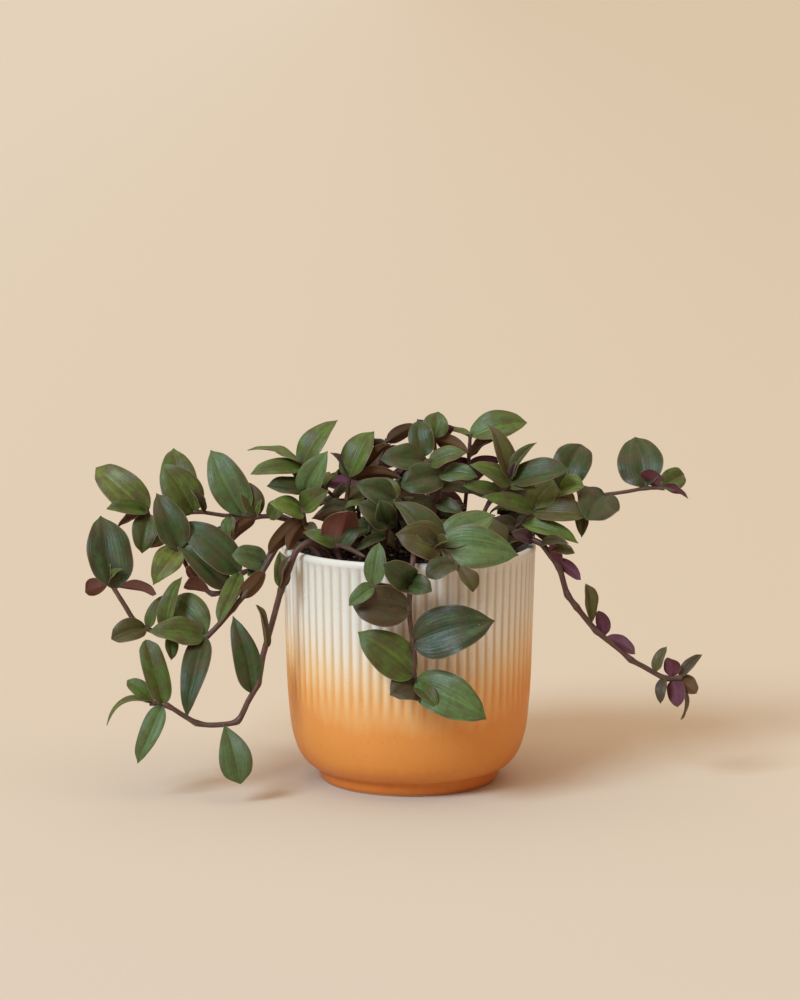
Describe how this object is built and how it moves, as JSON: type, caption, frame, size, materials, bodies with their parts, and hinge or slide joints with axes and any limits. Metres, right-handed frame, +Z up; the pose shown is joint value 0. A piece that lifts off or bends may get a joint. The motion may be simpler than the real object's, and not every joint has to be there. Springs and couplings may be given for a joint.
{
  "type": "potted tradescantia",
  "caption": "Trailing house plant in a ribbed glazed pot: leafy stems stand in potting soil, some upright and some hanging over the rim.",
  "frame": {"origin": "centre of the pot's flat foot, on the surface that the pot stands on", "axes": "+Z up; the pictured front faces -Y; +X is the viewer's right, along the spread of the foliage"},
  "size_m": [0.3066, 0.1594, 0.1852],
  "materials": {
    "glaze": "satin",
    "soil": "matte",
    "plant": "satin"
  },
  "bodies": {
    "root": {"pot": "glaze", "soil": "soil", "stem_left_low": "plant", "stem_left_middle": "plant", "stem_left_high": "plant", "stem_left_top": "plant", "stem_left_far": "plant", "stem_crown_left": "plant", "stem_crown_left_middle": "plant", "stem_crown_middle": "plant", "stem_front_middle": "plant", "stem_centre": "plant", "stem_centre_top": "plant", "stem_right_top": "plant", "stem_crown_right": "plant", "stem_right_middle": "plant", "stem_right_upper": "plant", "stem_right_trailing": "plant", "stem_front_trailing": "plant", "stem_left_short": "plant", "stem_inner_left": "plant", "stem_inner_middle": "plant", "stem_inner_right": "plant", "stem_inner_front": "plant", "stem_back_left": "plant", "stem_back_middle": "plant", "stem_back_right": "plant", "stem_back_left_trailing": "plant", "stem_back_right_trailing": "plant"}
  },
  "joints": []
}
